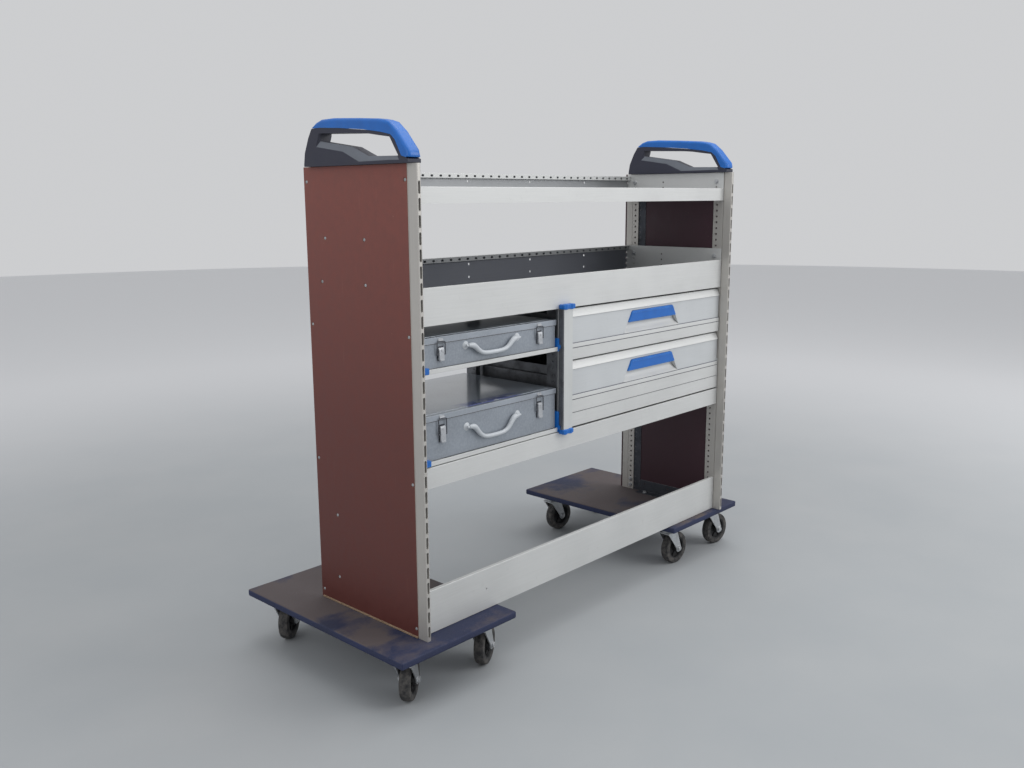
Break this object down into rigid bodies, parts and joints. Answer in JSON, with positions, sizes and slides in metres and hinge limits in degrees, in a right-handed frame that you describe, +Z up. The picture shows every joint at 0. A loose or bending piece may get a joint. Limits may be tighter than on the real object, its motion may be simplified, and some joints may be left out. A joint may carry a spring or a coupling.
{
  "type": "racking unit on dollies",
  "caption": "Tall aluminium workshop racking with shelves, drawers and slide-out metal cases, standing on two low boards with swivelling casters.",
  "frame": {"origin": "on the floor, at the middle of the overall box", "axes": "+Z up, +X along the unit towards the drawers' end, -Y out of the drawers' front"},
  "size_m": [1.4959, 0.643, 1.3015],
  "materials": {
    "satin_aluminium": "satin anodised, fine brushed lines, light scuffs",
    "zinc_steel": "bright zinc plating",
    "tyre_rubber": "dark grey rubber tyre on a black hub, dusty",
    "phenolic_plywood": "red-brown phenolic film, satin, fine mottling, light scratches",
    "dolly_blue": "navy blue covered board, worn to grey-brown in the middle",
    "dark_steel": "dark grey coated steel",
    "anthracite_plastic": "moulded, fine grain",
    "blue_plastic": "soft-touch blue, fine grain",
    "grey_sheet": "plain folded sheet, dull",
    "grey_enamel": "grey enamel, slightly hammered, glossy lid",
    "light_grey_plastic": "light grey, worn"
  },
  "bodies": {
    "racking": {"dolly_board_left": "dolly_blue", "dolly_board_right": "dolly_blue", "side_panel_left": "phenolic_plywood", "upright_front_left": "satin_aluminium", "upright_back_left": "satin_aluminium", "base_angle_left": "dark_steel", "handle_base_left": "anthracite_plastic", "handle_grip_left": "blue_plastic", "side_panel_right": "phenolic_plywood", "upright_front_right": "satin_aluminium", "upright_back_right": "satin_aluminium", "base_angle_right": "dark_steel", "handle_base_right": "anthracite_plastic", "handle_grip_right": "blue_plastic", "top_shelf": "satin_aluminium", "middle_shelf": "satin_aluminium", "lower_shelf": "satin_aluminium", "bottom_front_rail": "satin_aluminium", "divider_post_front": "satin_aluminium", "divider_post_back": "satin_aluminium", "divider_cap_top": "blue_plastic", "divider_cap_bottom": "blue_plastic", "drawer_runner_upper_left": "zinc_steel", "drawer_runner_upper_right": "zinc_steel", "drawer_runner_lower_left": "zinc_steel", "drawer_runner_lower_right": "zinc_steel"},
    "caster_left_front_outer": {"caster_fork_left_front_outer": "zinc_steel"},
    "wheel_left_front_outer": {"caster_wheel_left_front_outer": "tyre_rubber"},
    "caster_left_front_inner": {"caster_fork_left_front_inner": "zinc_steel"},
    "wheel_left_front_inner": {"caster_wheel_left_front_inner": "tyre_rubber"},
    "caster_left_back_outer": {"caster_fork_left_back_outer": "zinc_steel"},
    "wheel_left_back_outer": {"caster_wheel_left_back_outer": "tyre_rubber"},
    "caster_left_back_inner": {"caster_fork_left_back_inner": "zinc_steel"},
    "wheel_left_back_inner": {"caster_wheel_left_back_inner": "tyre_rubber"},
    "caster_right_front_inner": {"caster_fork_right_front_inner": "zinc_steel"},
    "wheel_right_front_inner": {"caster_wheel_right_front_inner": "tyre_rubber"},
    "caster_right_front_outer": {"caster_fork_right_front_outer": "zinc_steel"},
    "wheel_right_front_outer": {"caster_wheel_right_front_outer": "tyre_rubber"},
    "caster_right_back_inner": {"caster_fork_right_back_inner": "zinc_steel"},
    "wheel_right_back_inner": {"caster_wheel_right_back_inner": "tyre_rubber"},
    "caster_right_back_outer": {"caster_fork_right_back_outer": "zinc_steel"},
    "wheel_right_back_outer": {"caster_wheel_right_back_outer": "tyre_rubber"},
    "drawer_upper": {"drawer_front_upper": "satin_aluminium", "drawer_grip_upper": "blue_plastic", "drawer_box_upper": "grey_sheet"},
    "drawer_lower": {"drawer_front_lower": "satin_aluminium", "drawer_grip_lower": "blue_plastic", "drawer_box_lower": "grey_sheet"},
    "case_upper": {"case_tray_upper": "satin_aluminium", "case_body_upper": "grey_enamel"},
    "lid_upper": {"case_lid_upper": "grey_enamel"},
    "bail_upper": {"case_bail_upper": "light_grey_plastic"},
    "latch_upper_left": {"case_latch_upper_left": "zinc_steel"},
    "latch_upper_right": {"case_latch_upper_right": "zinc_steel"},
    "case_lower": {"case_tray_lower": "satin_aluminium", "case_body_lower": "grey_enamel"},
    "lid_lower": {"case_lid_lower": "grey_enamel"},
    "bail_lower": {"case_bail_lower": "light_grey_plastic"},
    "latch_lower_left": {"case_latch_lower_left": "zinc_steel"},
    "latch_lower_right": {"case_latch_lower_right": "zinc_steel"}
  },
  "joints": [
    {"name": "swivel_left_front_outer", "type": "hinge", "parent": "racking", "child": "caster_left_front_outer", "pos_m": [-0.686, -0.2575, 0.11], "axis": [0, 0, 1], "continuous": true},
    {"name": "roll_left_front_outer", "type": "hinge", "parent": "caster_left_front_outer", "child": "wheel_left_front_outer", "pos_m": [-0.65864, -0.23905, 0.05], "axis": [0.5592, -0.829, 0], "continuous": true},
    {"name": "swivel_left_front_inner", "type": "hinge", "parent": "racking", "child": "caster_left_front_inner", "pos_m": [-0.447, -0.2575, 0.11], "axis": [0, 0, 1], "continuous": true},
    {"name": "roll_left_front_inner", "type": "hinge", "parent": "caster_left_front_inner", "child": "wheel_left_front_inner", "pos_m": [-0.41734, -0.24303, 0.05], "axis": [0.4384, -0.8988, 0], "continuous": true},
    {"name": "swivel_left_back_outer", "type": "hinge", "parent": "racking", "child": "caster_left_back_outer", "pos_m": [-0.686, 0.2145, 0.11], "axis": [0, 0, 1], "continuous": true},
    {"name": "roll_left_back_outer", "type": "hinge", "parent": "caster_left_back_outer", "child": "wheel_left_back_outer", "pos_m": [-0.65897, 0.23343, 0.05], "axis": [0.5736, -0.8192, 0], "continuous": true},
    {"name": "swivel_left_back_inner", "type": "hinge", "parent": "racking", "child": "caster_left_back_inner", "pos_m": [-0.447, 0.2145, 0.11], "axis": [0, 0, 1], "continuous": true},
    {"name": "roll_left_back_inner", "type": "hinge", "parent": "caster_left_back_inner", "child": "wheel_left_back_inner", "pos_m": [-0.41842, 0.231, 0.05], "axis": [0.5, -0.866, 0], "continuous": true},
    {"name": "swivel_right_front_inner", "type": "hinge", "parent": "racking", "child": "caster_right_front_inner", "pos_m": [0.426, -0.2145, 0.11], "axis": [0, 0, 1], "continuous": true},
    {"name": "roll_right_front_inner", "type": "hinge", "parent": "caster_right_front_inner", "child": "wheel_right_front_inner", "pos_m": [0.45892, -0.2168, 0.05], "axis": [-0.0698, -0.9976, 0], "continuous": true},
    {"name": "swivel_right_front_outer", "type": "hinge", "parent": "racking", "child": "caster_right_front_outer", "pos_m": [0.665, -0.2145, 0.11], "axis": [0, 0, 1], "continuous": true},
    {"name": "roll_right_front_outer", "type": "hinge", "parent": "caster_right_front_outer", "child": "wheel_right_front_outer", "pos_m": [0.69775, -0.21852, 0.05], "axis": [-0.1219, -0.9925, 0], "continuous": true},
    {"name": "swivel_right_back_inner", "type": "hinge", "parent": "racking", "child": "caster_right_back_inner", "pos_m": [0.426, 0.2575, 0.11], "axis": [0, 0, 1], "continuous": true},
    {"name": "roll_right_back_inner", "type": "hinge", "parent": "caster_right_back_inner", "child": "wheel_right_back_inner", "pos_m": [0.45887, 0.25462, 0.05], "axis": [-0.0872, -0.9962, 0], "continuous": true},
    {"name": "swivel_right_back_outer", "type": "hinge", "parent": "racking", "child": "caster_right_back_outer", "pos_m": [0.665, 0.2575, 0.11], "axis": [0, 0, 1], "continuous": true},
    {"name": "roll_right_back_outer", "type": "hinge", "parent": "caster_right_back_outer", "child": "wheel_right_back_outer", "pos_m": [0.69798, 0.25635, 0.05], "axis": [-0.0349, -0.9994, 0], "continuous": true},
    {"name": "drawer_slide_upper", "type": "slide", "parent": "racking", "child": "drawer_upper", "axis": [0, -1, 0], "range_m": [0, 0.28]},
    {"name": "drawer_slide_lower", "type": "slide", "parent": "racking", "child": "drawer_lower", "axis": [0, -1, 0], "range_m": [0, 0.28]},
    {"name": "case_slide_upper", "type": "slide", "parent": "racking", "child": "case_upper", "axis": [0, -1, 0], "range_m": [0, 0.28]},
    {"name": "lid_hinge_upper", "type": "hinge", "parent": "case_upper", "child": "lid_upper", "pos_m": [-0.393, 0.073, 0.815], "axis": [-1, 0, 0], "range_deg": [0, 4]},
    {"name": "bail_swing_upper", "type": "hinge", "parent": "case_upper", "child": "bail_upper", "pos_m": [-0.393, -0.2625, 0.801], "axis": [-1, 0, 0], "range_deg": [0, 90]},
    {"name": "latch_hinge_upper_left", "type": "hinge", "parent": "case_upper", "child": "latch_upper_left", "pos_m": [-0.558, -0.259, 0.779], "axis": [1, 0, 0], "range_deg": [0, 100]},
    {"name": "latch_hinge_upper_right", "type": "hinge", "parent": "case_upper", "child": "latch_upper_right", "pos_m": [-0.228, -0.259, 0.779], "axis": [1, 0, 0], "range_deg": [0, 100]},
    {"name": "case_slide_lower", "type": "slide", "parent": "racking", "child": "case_lower", "axis": [0, -1, 0], "range_m": [0, 0.28]},
    {"name": "lid_hinge_lower", "type": "hinge", "parent": "case_lower", "child": "lid_lower", "pos_m": [-0.393, 0.073, 0.642], "axis": [-1, 0, 0], "range_deg": [0, 12]},
    {"name": "bail_swing_lower", "type": "hinge", "parent": "case_lower", "child": "bail_lower", "pos_m": [-0.393, -0.2625, 0.612], "axis": [-1, 0, 0], "range_deg": [0, 90]},
    {"name": "latch_hinge_lower_left", "type": "hinge", "parent": "case_lower", "child": "latch_lower_left", "pos_m": [-0.558, -0.259, 0.594], "axis": [1, 0, 0], "range_deg": [0, 100]},
    {"name": "latch_hinge_lower_right", "type": "hinge", "parent": "case_lower", "child": "latch_lower_right", "pos_m": [-0.228, -0.259, 0.594], "axis": [1, 0, 0], "range_deg": [0, 100]}
  ]
}
